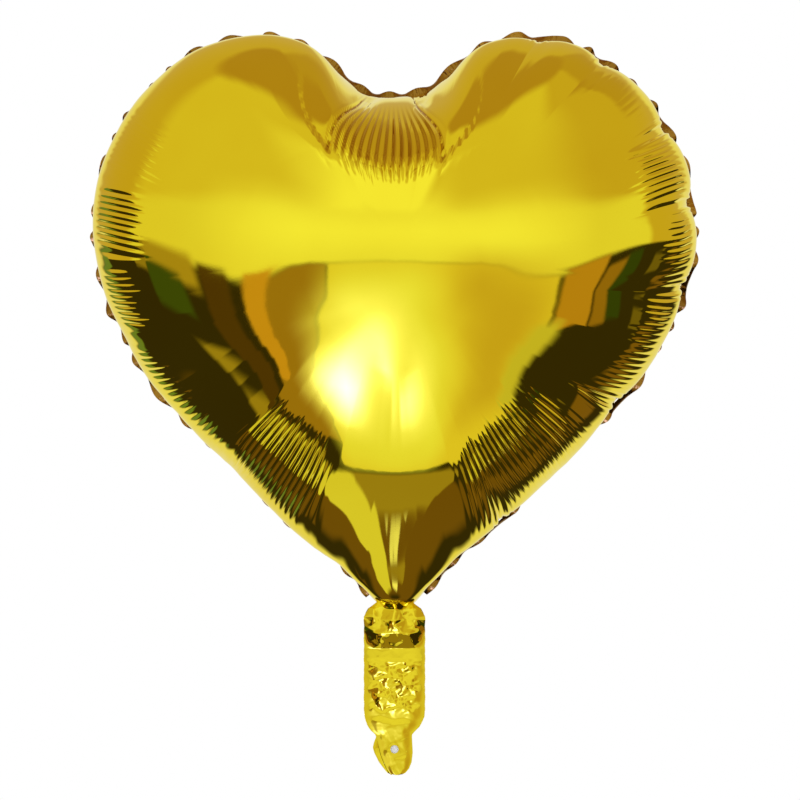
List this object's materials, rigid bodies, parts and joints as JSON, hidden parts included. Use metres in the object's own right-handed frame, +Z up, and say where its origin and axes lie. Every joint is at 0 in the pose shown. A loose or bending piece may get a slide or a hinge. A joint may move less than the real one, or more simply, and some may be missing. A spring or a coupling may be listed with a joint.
{
  "type": "heart-shaped foil balloon",
  "caption": "Inflated heart-shaped foil balloon: two film panels sealed round the rim, an inner self-sealing valve, and a flat creased tail with a fill hole in its tongue.",
  "frame": {"origin": "lowest point of the tail's tongue, on the centreline and in the seam plane", "axes": "+Z up from the tail to the lobes, +Y from the front panel to the back panel, +X to the right seen from the front"},
  "size_m": [0.38, 0.2, 0.4602],
  "materials": {
    "gold_foil": "mirror-bright gold metallised film with fine creases",
    "sealed_foil": "heat-sealed gold film, crimped and slightly dull",
    "clear_film": "clear polyethylene film"
  },
  "bodies": {
    "balloon_body": {"front_panel": "gold_foil", "back_panel": "gold_foil", "perimeter_seal": "sealed_foil"},
    "front_lip": {"valve_front_lip": "clear_film"},
    "back_lip": {"valve_back_lip": "clear_film"},
    "tail_neck": {"neck_front_ply": "gold_foil", "neck_back_ply": "gold_foil", "neck_seal_left": "sealed_foil", "neck_seal_right": "sealed_foil", "neck_valve_tube": "clear_film"},
    "tail_pouch": {"pouch_front_ply": "gold_foil", "pouch_back_ply": "gold_foil", "pouch_seal_left": "sealed_foil", "pouch_seal_right": "sealed_foil", "pouch_valve_tube": "clear_film"},
    "tail_tongue": {"tongue_front_ply": "gold_foil", "tongue_back_ply": "gold_foil", "tongue_seal_left": "sealed_foil", "tongue_seal_right": "sealed_foil", "valve_mouth": "clear_film"}
  },
  "joints": [
    {"name": "neck_fold", "type": "hinge", "parent": "balloon_body", "child": "tail_neck", "pos_m": [0, 0, 0.099], "axis": [1, 0, 0], "range_deg": [-50, 50]},
    {"name": "pouch_fold", "type": "hinge", "parent": "tail_neck", "child": "tail_pouch", "pos_m": [0, 0, 0.079], "axis": [1, 0, 0], "range_deg": [-65, 65]},
    {"name": "tongue_fold", "type": "hinge", "parent": "tail_pouch", "child": "tail_tongue", "pos_m": [0, 0, 0.0445], "axis": [1, 0, 0], "range_deg": [-60, 60]},
    {"name": "front_lip_parting", "type": "hinge", "parent": "balloon_body", "child": "front_lip", "pos_m": [0, 0, 0.112], "axis": [1, 0, 0], "range_deg": [0, 6], "stiffness_Nm_per_rad": 0.000008},
    {"name": "back_lip_parting", "type": "hinge", "parent": "balloon_body", "child": "back_lip", "pos_m": [0, 0, 0.112], "axis": [1, 0, 0], "range_deg": [-6, 0], "stiffness_Nm_per_rad": 0.000008}
  ],
  "couplings": [
    {"joint": "back_lip_parting", "follows": "front_lip_parting", "ratio": -1}
  ]
}
